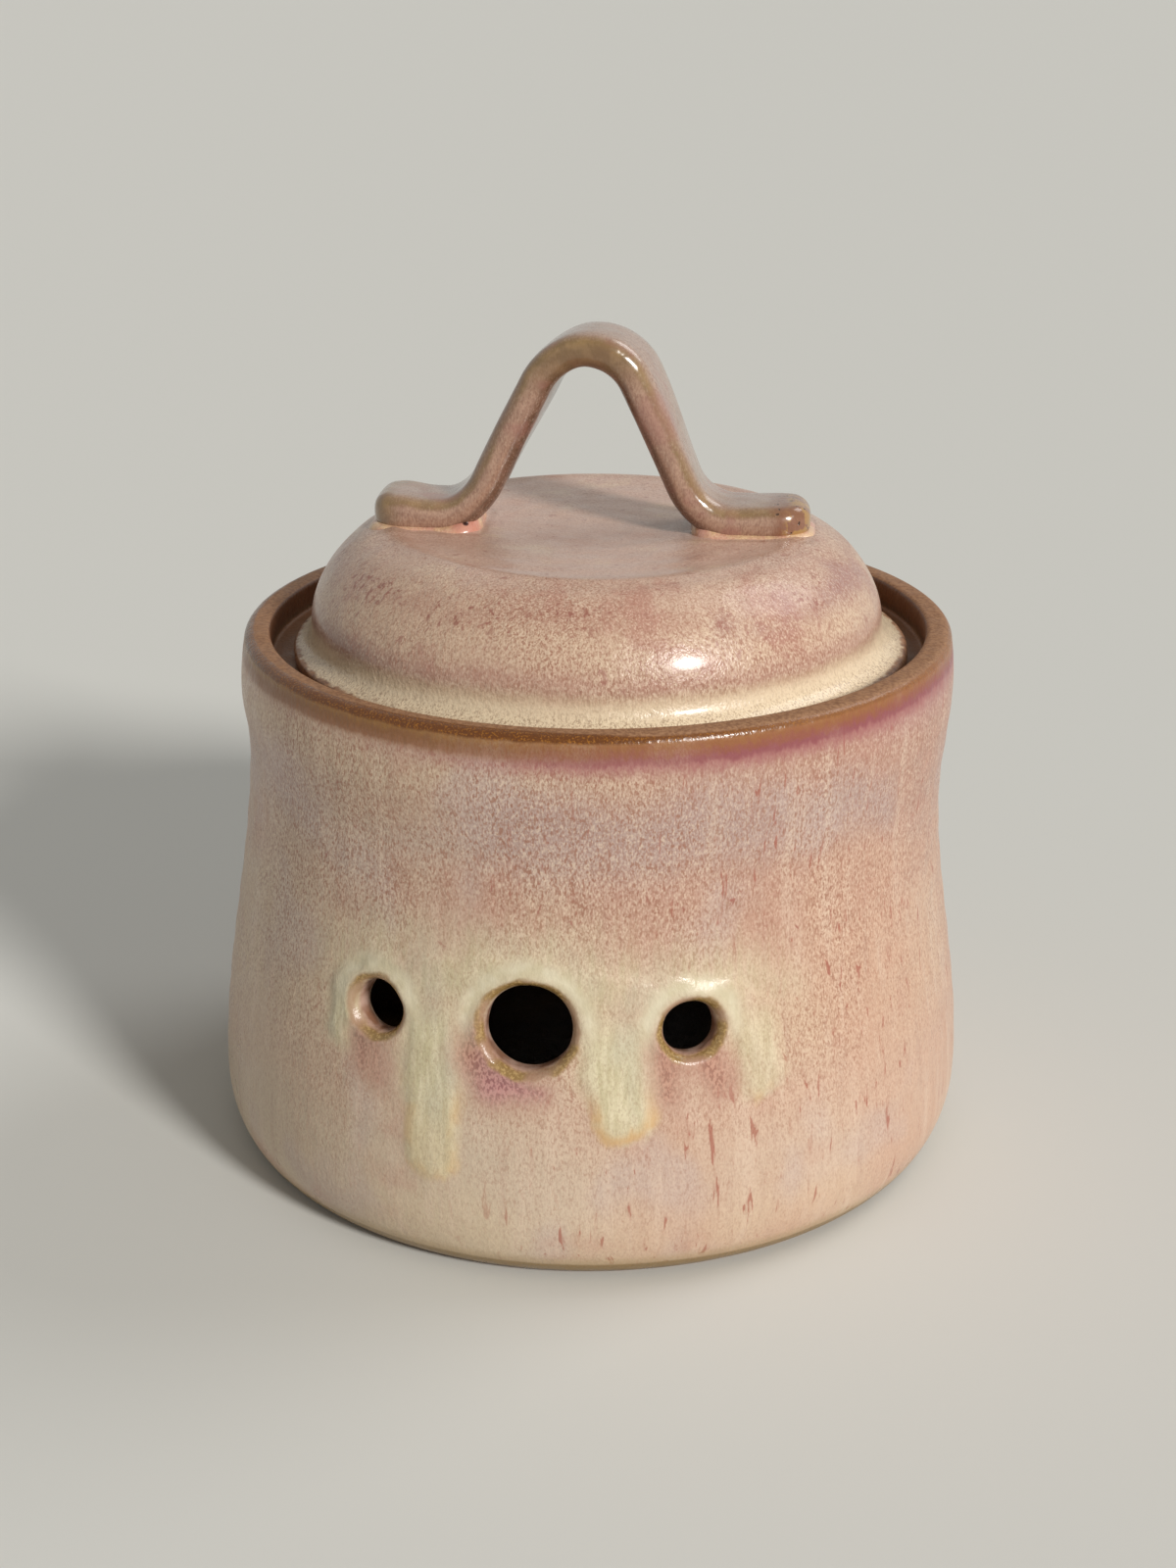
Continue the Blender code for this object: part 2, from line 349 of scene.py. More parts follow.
def vent_distance(angle, height):
    """How far a point of the outer wall lies from the nearest vent's bore."""
    nearest = np.full(np.broadcast(angle, height).shape, 1.0)
    reach = outer_radius(angle, height)
    for centre, radius, middle, tilt, _ in vents:
        across = wrap(angle - centre) * reach
        nearest = np.minimum(nearest, np.hypot(across, (height - middle) / cos(tilt)) - radius)
    return nearest


def path_distance(angle, height, front_paths, back_paths):
    """How far a point of the wall lies outside the paths' strokes; negative inside them."""
    reach = outer_radius(angle, height)
    sides = []
    for turn, paths in ((0, front_paths), (pi, back_paths)):
        along = wrap(angle - turn) * reach
        total = np.full(np.broadcast(along, height).shape, 1.0)
        for path in paths:
            path = np.array(path) * mm
            for (x, y, width), step in zip(path, np.diff(path, axis=0)):
                t = ((along - x) * step[0] + (height - y) * step[1]) / (step[:2] @ step[:2])
                t = np.clip(t, 0, 1)
                away = np.hypot(along - x - t * step[0], height - y - t * step[1])
                total = soft_least(total, away - width - step[2] * t, stroke_blend)
        sides.append(total)
    return np.where(np.abs(wrap(angle)) < pi / 2, *sides)


def run_distance(angle, height):
    """How far a point of the wall lies outside the pale glaze run, with its uneven border."""
    wander = run_wander * waves(angle, height, 5, (31, 47, 71), 2.5 * mm)
    return path_distance(angle, height, front_runs, back_runs) + wander


def bloom_distance(angle, height):
    return path_distance(angle, height, front_blooms, back_blooms)


def outer_wall(angle, height):
    """The outside with what stands proud of it: throwing rings, glaze runs and vent lips."""
    turns = 2 * pi * height / outer_ring_pitch
    relief = outer_ring * np.sin(turns + angle + 1.3 * np.sin(3 * angle))
    relief = relief * ease(height, belly_height, belly_height + 8 * mm)
    relief = relief * (1 - ease(height, collar_height - 6 * mm, collar_height))
    relief = relief + run_height * ease(-run_distance(angle, height), -0.2 * mm, run_edge)
    away = vent_distance(angle, height)
    relief = relief + vent_lip * np.exp(-((away - vent_outer_round * 0.7) / vent_lip_width) ** 2)
    return outer_radius(angle, height) + relief


def inner_wall(angle, height):
    """The inside with its throwing rings."""
    return inner_radius(height) + inner_ring * np.sin(2 * pi * height / inner_ring_pitch + angle)


def spot(radius, angle, height):
    """Where a radius, angle and height of the jar lie in the frame, with its slight lean."""
    radius = radius + ease(height, 0, waist_height) * out_of_round(angle, jar_waves)
    shift = jar_lean * (height - jar_height)
    return np.stack([radius * np.sin(angle) + view_right[0] * shift,
                     -radius * np.cos(angle) + view_right[1] * shift,
                     height + 0 * angle], -1)


def jar_sections():
    """The jar's outline in order, as named lists of (radius, height) points."""
    ring = foot_radius - foot_ring_width
    heel_angles = -pi / 2 + pi / 2 * np.arange(1, 17) / 17
    heel = np.stack([foot_radius + (belly_radius - foot_radius) * np.cos(heel_angles),
                     belly_height + belly_height * np.sin(heel_angles)], 1)
    under = np.concatenate([line((fan_radius, foot_recess), (ring - foot_recess, foot_recess), 9),
                            line((ring - foot_recess, foot_recess), (ring, 0), 2),
                            line((ring, 0), (foot_radius, 0), 3)])
    count = round((rim_round_start - belly_height) / row_spacing)
    wall_heights = np.linspace(belly_height, rim_round_start, count)
    rim_centre = (rim_radius - rim_outer_round, rim_round_start)
    inner_centre = (recess_radius + rim_inner_round, jar_height - rim_inner_round)
    corner = (recess_radius - ledge_corner, ledge_height + ledge_corner)
    lip = (mouth_radius + mouth_edge, ledge_height - mouth_edge)
    rim_points = (
        arc(rim_centre, rim_outer_round, 0, pi / 2, rim_round_rows),
        line((rim_centre[0], jar_height), (inner_centre[0], jar_height), rim_flat_rows),
        arc(inner_centre, rim_inner_round, pi / 2, pi, 6),
        line((recess_radius, inner_centre[1]), (recess_radius, corner[1]), 5),
        arc(corner, ledge_corner, 0, -pi / 2, 3),
        line((corner[0], ledge_height), (lip[0], ledge_height), 7),
        arc(lip, mouth_edge, pi / 2, pi, 5),
        line((mouth_radius, lip[1]), (mouth_radius, ledge_height - ledge_thickness), 4),
        bezier((mouth_radius, ledge_height - ledge_thickness), ((0, 0.30), (1, 0.42)),
               (waist_radius - wall, waist_height), 14)[:-1],
    )
    low = floor_height + floor_corner
    count = round((waist_height - low) / row_spacing)
    inner_heights = np.linspace(waist_height, low, count)
    corner = (belly_radius - wall - floor_corner, low)
    floor_points = np.concatenate([arc(corner, floor_corner, 0, -pi / 2, 10),
                                   line((corner[0], floor_height), (fan_radius, floor_height), 14)])
    return under, heel, wall_heights, np.concatenate(rim_points), inner_heights, floor_points


def block_loop(rows, columns):
    """(row, column) pairs once round a block, anticlockwise seen from outside the jar."""
    low, high = rows[0], rows[-1]
    loop = [(low, column) for column in columns[:-1]]
    loop += [(row, columns[-1]) for row in rows[:-1]]
    loop += [(high, column) for column in columns[:0:-1]]
    loop += [(row, columns[0]) for row in rows[:0:-1]]
    return loop


def vent_rings(vent, outer_loop, inner_loop):
    """Rings of points from the outer wall, round a vent's edges and through it to the inner wall.

    The loops are the (angles, heights) of the edges of the two patches round the vent. Each ring
    is (points, angles, heights, distance from the bore, share inside the jar).
    """
    centre, radius, middle, tilt, inner_middle = vent
    axis = np.array([sin(centre) * cos(tilt), -cos(centre) * cos(tilt), sin(tilt)])
    outside = (outer_wall, outer_radius(centre, middle), middle)
    inside = (inner_wall, inner_radius(inner_middle), inner_middle)

    def flatten(loop, side):
        _, reach, start = side
        return np.stack([wrap(loop[0] - centre) * reach, (loop[1] - start) / cos(tilt)], 1)

    def place(flat, side, depth):
        wall_radius, reach, start = side
        angle = centre + flat[:, 0] / reach
        height = start + flat[:, 1] * cos(tilt)
        return spot(wall_radius(angle, height), angle, height) - axis * depth, angle, height

    outer_flat, inner_flat = flatten(outer_loop, outside), flatten(inner_loop, inside)
    turn = np.arctan2(outer_flat[:, 1], outer_flat[:, 0])
    unit = np.stack([np.cos(turn), np.sin(turn)], 1)
    rings = []
    for step in range(1, vent_patch_rings + 1):
        t = step / vent_patch_rings
        flat = outer_flat * (1 - t) + unit * (radius + vent_outer_round) * t
        rings.append((*place(flat, outside, 0), np.hypot(*flat.T) - radius, 0))
    for step in range(1, vent_round_rings + 1):
        bend = step / vent_round_rings * pi / 2
        beside, depth = vent_outer_round * (1 - sin(bend)), vent_outer_round * (1 - cos(bend))
        ring = place(unit * (radius + beside), outside, depth)
        rings.append((*ring, beside - 0.5 * depth, 0))
    outer_edge, angle, height = ring
    inner_edge = place(unit * radius, inside, -vent_inner_round)[0]
    for step in range(1, vent_wall_rings + 1):
        t = step / vent_wall_rings
        points = outer_edge * (1 - t) + inner_edge * t
        rings.append((points, angle, height, -vent_outer_round * (0.5 + t), 0))
    for step in range(1, vent_inner_rings + 1):
        t = step / vent_inner_rings
        bend = pi / 2 * (1 - t)
        flat = unit * (radius + vent_inner_round * (1 - sin(bend)))
        rings.append((*place(flat, inside, -vent_inner_round * (1 - cos(bend))), far_away, t))
    for step in range(1, vent_patch_rings):
        t = step / vent_patch_rings
        flat = unit * (radius + vent_inner_round) * (1 - t) + inner_flat * t
        rings.append((*place(flat, inside, 0), far_away, 1))
    return rings


def build_jar(material):
    under, heel, wall_heights, rim, inner_heights, floor = jar_sections()
    angles = np.arange(jar_columns) * 2 * pi / jar_columns - pi
    across = np.ones(jar_columns)
    outer_start = len(under) + len(heel)
    rim_start = outer_start + len(wall_heights)
    inner_start = rim_start + len(rim)
    row_heights = np.concatenate([under[:, 1], heel[:, 1], wall_heights, rim[:, 1],
                                  inner_heights, floor[:, 1]])
    heights = row_heights[:, None] * across
    wall_grid, inner_grid = wall_heights[:, None] * across, inner_heights[:, None] * across
    radii = np.concatenate([under[:, :1] * across, heel[:, :1] * across,
                            outer_wall(angles, wall_grid), rim[:, :1] * across,
                            inner_wall(angles, inner_grid), floor[:, :1] * across])
    rows = len(heights)
    buried = np.arange(rows) >= rim_start + rim_round_rows + rim_flat_rows
    points = [spot(radii, angles, heights).reshape(-1, 3)]
    values = {"inside": [(buried[:, None] * across).ravel()], "level": [heights.ravel()]}
    for key, distance in (("vent", vent_distance), ("run", run_distance),
                          ("bloom", bloom_distance)):
        grid = np.full(heights.shape, far_away)
        grid[outer_start:rim_start] = distance(angles, wall_grid)
        values[key] = [grid.ravel()]
    row_step = wall_heights[1] - wall_heights[0]
    inner_step = inner_heights[0] - inner_heights[1]
    faces, blocks, total = [], set(), heights.size
    for vent in vents:
        centre, radius, middle, _, inner_middle = vent
        half = radius + vent_outer_round + vent_margin
        reach = round(half / (belly_radius * 2 * pi / jar_columns)) + 1
        tall = round(half / row_step)
        middle_column = round((centre + pi) / (2 * pi) * jar_columns)
        columns = [(middle_column + k) % jar_columns for k in range(-reach, reach + 1)]
        outer_row = outer_start + round((middle - belly_height) / row_step)
        inner_row = inner_start + round((waist_height - inner_middle) / inner_step)
        outer_rows = range(outer_row - tall, outer_row + tall + 1)
        inner_rows = range(inner_row + tall, inner_row - tall - 1, -1)
        blocks |= {(row, column) for row in outer_rows[:-1] for column in columns[:-1]}
        blocks |= {(row - 1, column) for row in inner_rows[:-1] for column in columns[:-1]}
        loops = [np.array(block_loop(side_rows, columns))
                 for side_rows in (outer_rows, inner_rows)]
        edges = [(angles[loop[:, 1]], row_heights[loop[:, 0]]) for loop in loops]
        rings = vent_rings(vent, *edges)
        size = len(loops[0])
        first, last = ((loop[:, 0] * jar_columns + loop[:, 1]).tolist() for loop in loops)
        between = (total + np.arange(size * len(rings)).reshape(-1, size)).tolist()
        chain = [first, *between, last]
        for near, far in zip(chain, chain[1:]):
            for k in range(size):
                after = (k + 1) % size
                faces.append((near[k], near[after], far[after], far[k]))
        total += size * len(rings)
        for ring, angle, height, away, inside in rings:
            beyond = far_away * (inside > 0)
            points.append(ring)
            for key, numbers in (("vent", away), ("run", run_distance(angle, height) + beyond),
                                 ("bloom", bloom_distance(angle, height) + beyond),
                                 ("inside", inside), ("level", height)):
                values[key].append(numbers + 0 * angle)
    faces = grid_faces(rows, jar_columns, blocks) + faces + fan_faces(total, rows, jar_columns)
    ends = np.array([[0, 0, foot_recess], [0, 0, floor_height]])
    ends[:, :2] += view_right[:2] * jar_lean * (ends[:, 2:] - jar_height)
    points = np.concatenate([*points, ends])
    for key, parts in values.items():
        unit = 1 if key == "inside" else mm
        values[key] = np.concatenate([*parts, parts[0][[0, -1]]]) / unit
    piece = make_piece("jar_glazed", points.tolist(), faces, values, material)
    settle(piece, "jar", "jar_glaze", "jar")


# ---- Lid and handle ------------------------------------------------------------------------

def lid_outline():
    """The lid's outline from its top, over the flange and round to its ceiling."""
    neck = (neck_radius, neck_height)
    disc = np.linspace(fan_radius, lid_top_radius, lid_disc_rows)
    top = np.stack([disc, lid_height - lid_dish * (1 - (disc / lid_top_radius) ** 2)], 1)
    dome = bezier(neck, dome_shares, (lid_top_radius, lid_height), lid_dome_rows)[-2::-1]
    centre = (flange_radius - flange_round, flange_edge - flange_round)
    slope = bezier((centre[0], flange_edge), flange_shares, neck, lid_flare_rows)[::-1]
    ceiling = (lid_top_radius - lid_wall / 2, lid_height - lid_wall)
    inner = neck_radius - lid_wall
    edge = inner + lid_inner_round
    parts = (
        top, dome, slope, [(centre[0], flange_edge)],
        arc(centre, flange_round, pi / 2, 0, lid_edge_rows),
        arc((centre[0], flange_round), flange_round, 0, -pi / 2, 5),
        line((centre[0], 0), (edge, 0), 5),
        arc((edge, lid_inner_round), lid_inner_round, -pi / 2, -pi, 5),
        line((inner, lid_inner_round), (inner, neck_height), 4),
        bezier((inner, neck_height), dome_shares, ceiling, 20),
        line(ceiling, (fan_radius, ceiling[1]), 14),
    )
    return np.concatenate([np.asarray(part) for part in parts])


def lid_surface(radius):
    """The height of the lid's outer surface at a distance from its axis."""
    outline = lid_outline()[:lid_top_rows]
    return np.interp(radius, outline[:, 0], outline[:, 1])


def foot_distance(x, y):
    """How far a point of the lid's top lies outside the two feet of the handle."""
    middle = (foot_reach + pad_reach) / 2
    away_x = np.abs(np.abs(x + handle_off_centre) - middle) - (foot_reach - pad_reach) / 2
    away_y = np.abs(y) - handle_width / 2
    return np.hypot(np.maximum(away_x, 0), np.maximum(away_y, 0))


def build_lid(material):
    outline = lid_outline()
    rows = len(outline)
    angles = np.arange(lid_columns) * 2 * pi / lid_columns
    radii = outline[:, :1] + 0 * angles
    heights = outline[:, 1:] + 0 * angles
    top_rows = np.arange(rows)[:, None] < lid_top_rows
    low = 1 - ease(heights, 0, neck_height)
    radii = radii + out_of_round(angles, lid_waves)
    drift = view_turn - lid_turn
    x = radii * np.cos(angles) + flange_drift * low * cos(drift)
    y = radii * np.sin(angles) + flange_drift * low * sin(drift)
    away = foot_distance(x, y)
    relief = pad_height * (1 - ease(away, 0.5 * mm, pad_spread))
    relief = relief + crease_height * np.exp(-((radii - lid_top_radius) / crease_width) ** 2)
    relief = relief + lid_ring * np.sin(2 * pi * radii / lid_ring_pitch + angles)
    heights = heights + np.where(top_rows, relief * ease(heights, neck_height, lid_height), 0)
    points = np.stack([x, y, heights], -1).reshape(-1, 3)
    faces = grid_faces(rows, lid_columns) + fan_faces(len(points), rows, lid_columns)
    faces = [face[::-1] for face in faces]
    ends = [[0, 0, lid_height - lid_dish], [0, 0, lid_height - lid_wall]]
    inside = (~top_rows).astype(float) * np.ones(lid_columns)
    values = {key: np.append(numbers.ravel(), end_values) for key, numbers, end_values in (
        ("inside", inside, [0, 1]), ("reach", np.hypot(x, y) / mm, [0, 0]),
        ("level", heights / mm, [lid_height / mm, 0]), ("foot", away / mm, [20, 20]))}
    piece = make_piece("lid_glazed", points.tolist() + ends, faces, values, material)
    piece.matrix_world = lid_frame
    settle(piece, "lid", "lid_glaze", "lid")


def strap_path():
    """Half of the strap's middle line as (along, up, heading), from the crown to a foot's end."""
    middle = handle_thickness / 2
    turn = pi / 2 - leg_lean
    crown_centre = handle_height - middle - crown_radius
    path = [(crown_radius * sin(turn * s / 14), crown_centre + crown_radius * cos(turn * s / 14),
             turn * s / 14) for s in range(14)]
    leg_top = (crown_radius * sin(turn), crown_centre + crown_radius * cos(turn))
    bend_top = middle + foot_bend_radius * (1 - cos(turn))
    leg_run = (leg_top[1] - bend_top) * tan(leg_lean)
    path += [(leg_top[0] + leg_run * s / 12, leg_top[1] + (bend_top - leg_top[1]) * s / 12, turn)
             for s in range(12)]
    bend_centre = leg_top[0] + leg_run + foot_bend_radius * sin(turn)
    for s in range(12):
        left = turn * (1 - s / 12)
        path.append((bend_centre - foot_bend_radius * sin(left),
                     middle + foot_bend_radius * (1 - cos(left)), left))
    foot_end = foot_reach - strap_plan_round
    path += [(bend_centre + (foot_end - bend_centre) * s / 8, middle, 0) for s in range(8)]
    path += [(foot_end + strap_plan_round * sin(pi / 2 * s / 14), middle, 0) for s in range(15)]
    return path, bend_centre


def strap_section():
    """Points round the strap as (across, up, how far they face outwards)."""
    section = []
    flat_width = handle_width / 2 - strap_corner
    flat_thickness = handle_thickness / 2 - strap_corner
    for quarter in range(4):
        side = 1 if quarter in (0, 3) else -1
        face = 1 if quarter in (0, 1) else -1
        for step in range(7):
            angle = (quarter + step / 6) * pi / 2
            section.append((side * flat_width + strap_corner * cos(angle),
                            face * flat_thickness + strap_corner * sin(angle), sin(angle)))
        if quarter in (0, 2):
            ahead = section[-1][0]
            section += [(ahead * (1 - step / 5), face * handle_thickness / 2, face)
                        for step in range(1, 10)]
    return np.array(section)


def sunk(away):
    """How much lower the strap lies towards its feet, at a distance from the middle."""
    return foot_sink * ease(away, 14 * mm, 25 * mm)


def build_handle(material):
    half, _ = strap_path()
    stations = [(-a, u, -h) for a, u, h in half[:0:-1]] + half
    across, up, facing = strap_section().T
    rings, upward, level, along = [], [], [], []
    for a, u, h in stations:
        out = abs(a)
        round_in, thin_in = (min(1, max(0, out - (foot_reach - end)) / end)
                             for end in (strap_plan_round, strap_end_round))
        width = 1 - (1 - (1 - round_in ** 2) ** 0.5) * strap_plan_round * 2 / handle_width
        thick = 1 - (1 - (1 - thin_in ** 2) ** 0.5) * end_thinning
        swell = 1 + sum(size * sin(a / length + phase) for size, length, phase in strap_waves)
        end_swell = foot_swell * ease(out, foot_reach - 10 * mm, foot_reach - 4 * mm)
        end_swell = end_swell * (right_foot_share if a > 0 else 1)
        lift = up * thick * swell + (up > 0) * end_swell * thick
        lift = lift - (up < 0) * foot_bulge * thick * ease(out, 17 * mm, 25 * mm)
        lift = lift + crown_of_strap * np.cos(across / (handle_width / 2) * pi / 2) * facing
        share = across * width / (handle_width / 2)
        high = ease(u, 6 * mm, handle_height - crown_radius)
        skew = back_shift * high * (1 + share) / 2
        extra = right_foot_extra if a > 0 else left_foot_extra
        stretch = extra * ease(out, 18 * mm, foot_reach)
        droop = crown_sag * ease(u, handle_height * 0.45, handle_height)
        sag = sunk(out) + droop * ease(-a, 0, crown_radius)
        rings.append(np.stack([a + lift * sin(h) + skew + stretch, across * width,
                               u + lift * cos(h) - sag], 1))
        upward.append(facing)
        level.append((u + up * cos(h)) / mm)
        along.append(np.full(len(up), a / mm))
    faces = tube_faces(len(rings), len(up))
    values = {"upward": np.concatenate(upward), "level": np.concatenate(level),
              "along": np.concatenate(along)}
    piece = make_piece("handle_glazed", np.concatenate(rings).tolist(), faces, values, material)
    on_top = Matrix.Translation((-handle_off_centre, 0, lid_height + handle_lift))
    piece.matrix_world = lid_frame @ on_top
    settle(piece, "lid", "handle_glaze", "handle")


def pad_outline(inner, outer, half):
    """Points and outward directions round a foot, its outer end rounder than its inner one."""
    path = []
    for x, side, quarter, turn in ((outer, 1, 0, outer_turn), (inner, 1, 1, inner_turn),
                                   (inner, -1, 2, inner_turn), (outer, -1, 3, outer_turn)):
        centre_x = x - turn if x == outer else x + turn
        for step in range(9):
            angle = (quarter + step / 8) * pi / 2
            path.append((centre_x + turn * cos(angle), side * (half - turn) + turn * sin(angle),
                         cos(angle), sin(angle)))
    path = np.array(path)
    dense = []
    for start, end in zip(path, np.roll(path, -1, 0)):
        count = max(1, round(float(np.hypot(*(end - start)[:2])) / (0.8 * mm)))
        dense += [start + (end - start) * k / count for k in range(count)]
    return np.array(dense)


def build_luting(name, side, material):
    """The clay and glaze that fill the joint under one foot of the handle."""
    _, bend_centre = strap_path()
    extra = right_foot_extra if side > 0 else -left_foot_extra
    outline = pad_outline(pad_reach, foot_reach + extra, handle_width / 2)
    rng = np.random.default_rng(11 + side)
    turns = np.arange(len(outline)) / len(outline) * 2 * pi
    spread = luting_spread * (1 + 0.14 * np.sin(3 * turns + rng.uniform(0, 6))
                              + 0.1 * np.sin(8 * turns + rng.uniform(0, 6)))
    from_hole = np.hypot(side * outline[:, 0] - pinhole[0], outline[:, 1] - pinhole[1])
    spread = spread + blob_size * np.exp(-(from_hole / blob_radius) ** 2)
    outside = foot_bend_radius + handle_thickness / 2
    points = []
    rows = luting_steps + 3
    for step in range(rows):
        bend = min(step / luting_steps, 1) * pi / 2
        inward = max(0, step - luting_steps) * 2.0 * mm
        offset = luting_inset + (spread - luting_inset) * cos(bend) - inward
        x = outline[:, 0] + offset * outline[:, 2]
        y = outline[:, 1] + offset * outline[:, 3]
        ground = lid_surface(np.hypot(side * x - handle_off_centre, y)) - luting_sink
        gap = np.minimum(np.maximum(bend_centre - outline[:, 0], 0), outside * 0.95)
        under = handle_lift - sunk(outline[:, 0]) + outside - np.sqrt(outside ** 2 - gap ** 2)
        top = lid_height + under + luting_cover
        points.append(np.stack([side * x, y, ground + (top - ground) * sin(bend)], 1))
    faces = tube_faces(rows, len(outline))
    if side < 0:
        faces = [face[::-1] for face in faces]
    piece = make_piece(name, np.concatenate(points).tolist(), faces, {}, material)
    piece.matrix_world = lid_frame @ Matrix.Translation((-handle_off_centre, 0, 0))
    settle(piece, "lid", "lid_glaze")


# ---- Materials -----------------------------------------------------------------------------

def tone(red, green, blue):
    """A colour given as screen values from 0 to 255, as the shader's linear colour."""
    linear = [(c / 255 / 12.92) if c <= 10 else ((c / 255 + 0.055) / 1.055) ** 2.4
              for c in (red, green, blue)]
    return (*linear, 1)


class Field:
    """A value or colour over a surface, made of shader nodes. Sums of fields are fields."""

    def __init__(self, glaze, socket):
        self.glaze, self.socket = glaze, socket

    def __add__(self, other):
        return self.glaze.calc("ADD", self, other)

    def __sub__(self, other):
        return self.glaze.calc("SUBTRACT", self, other)

    def __rsub__(self, other):
        return self.glaze.calc("SUBTRACT", other, self)

    def __mul__(self, other):
        return self.glaze.calc("MULTIPLY", self, other)

    def __or__(self, other):
        return self.glaze.calc("MAXIMUM", self, other)

    def ease(self, low, high, start=0.0, end=1.0):
        """From start to end, smoothly, as the field goes from low to high."""
        inputs = {"Value": self, "From Min": low, "From Max": high, "To Min": start, "To Max": end}
        return self.glaze.node("ShaderNodeMapRange", inputs, interpolation_type="SMOOTHSTEP")

    def band(self, low, high, soft):
        """1 between low and high, falling to 0 over soft on both sides."""
        return self.ease(low - soft, low + soft) * self.ease(high + soft, high - soft)


class Glaze:
    """Builds one material: fields of shader nodes, and the colour that they are laid on."""

    def __init__(self, name):
        self.material = bpy.data.materials.new(name)
        self.material.use_nodes = True
        self.tree = self.material.node_tree
        self.shader = self.tree.nodes["Principled BSDF"]
        self.place = self.node("ShaderNodeTexCoord", {}, "Object")
        self.colour = None

    def feed(self, node, inputs):
        for key, value in inputs.items():
            if isinstance(value, Field):
                self.tree.links.new(value.socket, node.inputs[key])
            else:
                node.inputs[key].default_value = value

    def node(self, kind, inputs, output=0, **settings):
        node = self.tree.nodes.new(kind)
        for key, value in settings.items():
            setattr(node, key, value)
        self.feed(node, inputs)
        return Field(self, node.outputs[output])

    def value(self, name):
        return self.node("ShaderNodeAttribute", {}, "Fac", attribute_name=name)

    def calc(self, operation, *values):
        return self.node("ShaderNodeMath", dict(enumerate(values)), operation=operation)

    def blend(self, amount, *pair):
        """From the first colour, where amount is 0, to the second, where it is 1."""
        first, second = (tone(*item) if isinstance(item, tuple) else item for item in pair)
        return self.node("ShaderNodeMix", {0: amount, 6: first, 7: second}, 2, data_type="RGBA")

    def lay(self, mask, tint, amount=1.0):
        """Lays a colour over what is there, as far as mask times amount."""
        self.colour = self.blend(mask * amount, self.colour, tint)

    def ladder(self, value, stops):
        """Colours by value: stops are (value, red, green, blue), the values rising."""
        low, high = stops[0][0], stops[-1][0]
        field = self.node("ShaderNodeValToRGB", {0: (value - low) * (1 / (high - low))})
        ramp = field.socket.node.color_ramp
        ramp.interpolation = "EASE"
        while len(ramp.elements) < len(stops):
            ramp.elements.new(0.5)
        for element, (at, *colour) in zip(ramp.elements, stops):
            element.position = (at - low) / (high - low)
            element.color = tone(*colour)
        return field

    def noise(self, scale, upright=1.0, shift=0.0, detail=2.0, rough=0.5, bend=0.0):
        """Cloudy values about 0.5. Below 1, upright draws them out up and down."""
        place = self.node("ShaderNodeMapping", {
            "Vector": self.place, "Location": (shift, shift * 0.7, shift * 1.3),
            "Scale": (scale, scale, scale * upright)})
        return self.node("ShaderNodeTexNoise", {
            "Vector": place, "Scale": 1.0, "Detail": detail, "Roughness": rough,
            "Distortion": bend}, "Fac")

    def wobble(self, scale, upright, size, shift):
        """Noise about zero, to make a border uneven by up to about half of size."""
        return (self.noise(scale, upright, shift) - 0.5) * size

    def plan(self):
        """The place on the piece, seen from above, as x and y."""
        parts = self.node("ShaderNodeSeparateXYZ", {0: self.place}).socket.node.outputs
        return Field(self, parts[0]), Field(self, parts[1])

    def towards(self, angle, reach):
        """1 on the side of a piece that faces angle, -1 on the far side. 0 is the front."""
        x, y = self.plan()
        return x * (sin(angle) / reach) - y * (cos(angle) / reach)

    def reach(self):
        """The distance from the object's upright axis, in mm."""
        x, y = self.plan()
        return self.calc("SQRT", x * x + y * y) * (1 / mm)

    def near(self, point, radius):
        """1 within radius of a point of the piece, falling to 0 at twice that."""
        inputs = {0: self.place, 1: point}
        away = self.node("ShaderNodeVectorMath", inputs, "Value", operation="DISTANCE")
        return away.ease(radius, 2 * radius, 1.0, 0.0)

    def grain(self, colour, dark, light, amount, shift=0.0):
        """The glaze's fine mottle of light and dark grains, and sparser darker ones."""
        fine = self.noise(3300, 0.5, 7.7 + shift, rough=0.6)
        sparse = self.noise(2500, 0.45, 1.9 + shift, rough=0.6)
        colour = self.blend(fine.ease(0.48, 0.35, 0, 0.6) * amount, colour, light)
        colour = self.blend(fine.ease(0.50, 0.62, 0, 0.6) * amount, colour, dark)
        return self.blend(sparse.ease(0.54, 0.62, 0, 0.85) * amount, colour, dark)

    def mottle(self, dark, light, amount, shift=0.0):
        self.colour = self.grain(self.colour, dark, light, amount, shift)

    def flecks(self, dark, scale, upright, low, where, shift):
        """Sparse marks, drawn out up and down, with a faint stain round each."""
        mark = self.noise(scale, upright, shift, 3.0, bend=0.6)
        stain = mark.ease(low - 0.07, low + 0.02, 0.0, 0.3)
        self.lay((mark.ease(low, low + 0.035) | stain) * where, dark)

    def finish(self, roughness, bump, depth, coat, coat_roughness):
        normal = self.node("ShaderNodeBump", {"Distance": depth, "Height": bump})
        self.feed(self.shader, {
            "Base Color": self.colour, "Roughness": roughness, "Normal": normal,
            "Coat Weight": coat, "Coat Roughness": coat_roughness})
        return self.material


dark_grain = (160, 110, 88)
light_grain = (233, 210, 184)


